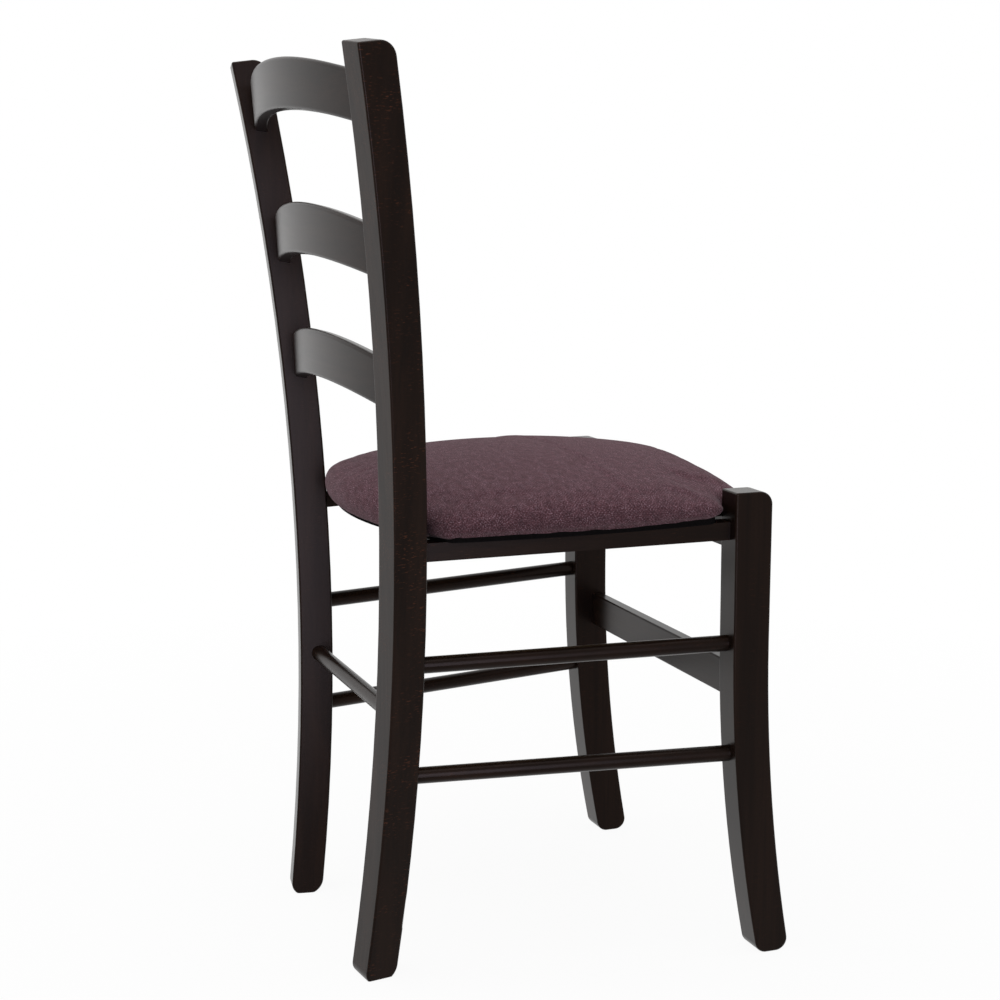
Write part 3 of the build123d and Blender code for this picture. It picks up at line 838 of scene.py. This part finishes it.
class CHAIR_OT_cover_staples(bpy.types.Operator):
    """Staple the hem to the board where no rail covers it"""

    bl_idname = "chair.cover_staples"
    bl_label = "Make the cover's staples"

    def execute(self, context):
        sizes = context.scene.chair_pad
        staples = None
        deselect()
        for across, setback, turn in self.places():
            bpy.ops.mesh.primitive_cube_add(
                size=1.0,
                location=seat_point(across, setback, STAPLE_LEVEL),
                rotation=(-SEAT_PITCH, 0.0, turn),
                scale=(sizes.staple_length, sizes.staple_wire, STAPLE_THICKNESS),
            )
            if staples is None:
                staples = bpy.context.object
                bpy.ops.object.transform_apply(location=True, rotation=True, scale=True)
                bpy.ops.object.mode_set(mode="EDIT")
        bpy.ops.object.mode_set(mode="OBJECT")
        staples.name = "cover_staples"
        staples.data.materials.append(bpy.data.materials["zinc"])
        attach(staples, "root")
        return {"FINISHED"}

    def places(self):
        """Place across and backward, and turn, of each staple."""
        back = [BACK_SPACING * count for count in BACK_ROW]
        rows = [(across, BACK_SETBACK - BACK_BOW * across**2, 0.0) for across in back]
        rows += [(FRONT_SPACING * count, FRONT_SETBACK, 0.0) for count in FRONT_ROW]
        for side in (-1, 1):
            rows += [(side * SIDE_ACROSS, setback, math.pi / 2) for setback in SIDE_SETBACKS]
        return rows


class CHAIR_OT_stage(bpy.types.Operator):
    """Set up the floor, the light and the camera"""

    bl_idname = "chair.stage"
    bl_label = "Set the stage"

    def execute(self, context):
        stage = context.scene.chair_stage
        deselect()
        bpy.ops.mesh.primitive_plane_add(size=FLOOR_SIZE, location=(0.0, 0.0, 0.0))
        floor = bpy.context.object
        floor.name = "floor"
        floor.data.materials.append(self.floor_finish())
        self.white_room(context.scene, stage.sky)
        self.soft_box("top_light", *TOP_BOX, stage.top_watts)
        self.soft_box("back_light", *BACK_BOX, stage.back_watts)
        gloss = self.soft_box("gloss_light", *GLOSS_BOX, stage.gloss_watts)
        gloss.data.shape = "RECTANGLE"
        gloss.data.size_y = GLOSS_BOX_HEIGHT
        gloss.data.color = GLOSS_COLOUR
        gloss.visible_diffuse = False
        gloss.visible_camera = False
        camera = bpy.data.objects.new("camera", bpy.data.cameras.new("camera"))
        context.scene.collection.objects.link(camera)
        camera.location = stage.camera_place
        camera.rotation_euler = Vector(stage.camera_look).to_track_quat("-Z", "Y").to_euler()
        camera.data.lens = stage.lens
        camera.data.sensor_width = SENSOR_WIDTH
        context.scene.camera = camera
        context.scene.view_settings.view_transform = "Standard"
        return {"FINISHED"}

    def seen_directly(self, nodes, links):
        """One for rays from the camera, reflections and glass, and zero for the rest."""
        path = nodes.new("ShaderNodeLightPath")
        total = path.outputs["Is Camera Ray"]
        for ray in ("Is Glossy Ray", "Is Transmission Ray"):
            larger = nodes.new("ShaderNodeMath")
            larger.operation = "MAXIMUM"
            links.new(total, larger.inputs[0])
            links.new(path.outputs[ray], larger.inputs[1])
            total = larger.outputs[0]
        return total

    def floor_finish(self):
        """Pale floor that shows white and keeps a faint shadow."""
        made = Finish("pale_floor")
        made.nodes.remove(made.shader)
        matte = made.node("ShaderNodeBsdfDiffuse", Color=FLOOR_COLOUR)
        white = made.node("ShaderNodeEmission", Strength=1.0)
        mix = made.node("ShaderNodeMixShader")
        place = made.node("ShaderNodeTexCoord")
        reach = made.node("ShaderNodeVectorMath", operation="LENGTH")
        made.link(place.outputs["Object"], reach.inputs[0])
        whiteness = made.span(reach.outputs["Value"], FLOOR_FADE, FLOOR_WHITE)
        seen = self.seen_directly(made.nodes, made.links)
        made.link(made.maths("MULTIPLY", seen, whiteness), mix.inputs["Fac"])
        made.link(matte.outputs[0], mix.inputs[1])
        made.link(white.outputs[0], mix.inputs[2])
        made.link(mix.outputs[0], made.nodes["Material Output"].inputs["Surface"])
        return made.material

    def white_room(self, scene, sky):
        """White where it is seen, and an even ambient light."""
        world = bpy.data.worlds.new("white_room")
        world.use_nodes = True
        scene.world = world
        nodes = world.node_tree.nodes
        links = world.node_tree.links
        ambient = nodes["Background"]
        seen = nodes.new("ShaderNodeBackground")
        for light, strength in ((ambient, sky), (seen, 1.0)):
            light.inputs["Color"].default_value = WHITE
            light.inputs["Strength"].default_value = strength
        mix = nodes.new("ShaderNodeMixShader")
        links.new(self.seen_directly(nodes, links), mix.inputs["Fac"])
        links.new(ambient.outputs[0], mix.inputs[1])
        links.new(seen.outputs[0], mix.inputs[2])
        links.new(mix.outputs[0], nodes["World Output"].inputs["Surface"])

    def soft_box(self, name, place, target, size, watts):
        """A square soft box that looks at a point."""
        lamp = bpy.data.lights.new(name, "AREA")
        lamp.size = size
        lamp.energy = watts
        box = bpy.data.objects.new(name, lamp)
        bpy.context.scene.collection.objects.link(box)
        box.location = place
        box.rotation_euler = (Vector(target) - Vector(place)).to_track_quat("-Z", "Y").to_euler()
        return box


class CHAIR_PT_panel(bpy.types.Panel):
    """Lists the chair's settings and steps"""

    bl_idname = "CHAIR_PT_panel"
    bl_label = "Chair"
    bl_space_type = "VIEW_3D"
    bl_region_type = "UI"
    bl_category = "Chair"

    def draw(self, context):
        layout = self.layout
        scene = context.scene
        for settings in (scene.chair_finish, scene.chair_pad, scene.chair_stage):
            box = layout.box()
            for key in settings.__annotations__:
                box.prop(settings, key)
        for step in STEPS:
            layout.operator(step.bl_idname)


STEPS = (
    CHAIR_OT_finish_frame,
    CHAIR_OT_finish_hidden,
    CHAIR_OT_seat_pad,
    CHAIR_OT_cover_hem,
    CHAIR_OT_cover_staples,
    CHAIR_OT_stage,
)
CLASSES = (ChairFinish, ChairPad, ChairStage, *STEPS, CHAIR_PT_panel)


def register():
    """Add the chair's classes and settings."""
    for kind in CLASSES:
        bpy.utils.register_class(kind)
    bpy.types.Scene.chair_finish = bpy.props.PointerProperty(type=ChairFinish)
    bpy.types.Scene.chair_pad = bpy.props.PointerProperty(type=ChairPad)
    bpy.types.Scene.chair_stage = bpy.props.PointerProperty(type=ChairStage)


def unregister():
    """Take the chair's classes and settings away."""
    del bpy.types.Scene.chair_stage
    del bpy.types.Scene.chair_pad
    del bpy.types.Scene.chair_finish
    for kind in reversed(CLASSES):
        bpy.utils.unregister_class(kind)


def main():
    register()
    for step in STEPS:
        group, name = step.bl_idname.split(".")
        getattr(getattr(bpy.ops, group), name)()


if __name__ == "__main__":
    main()
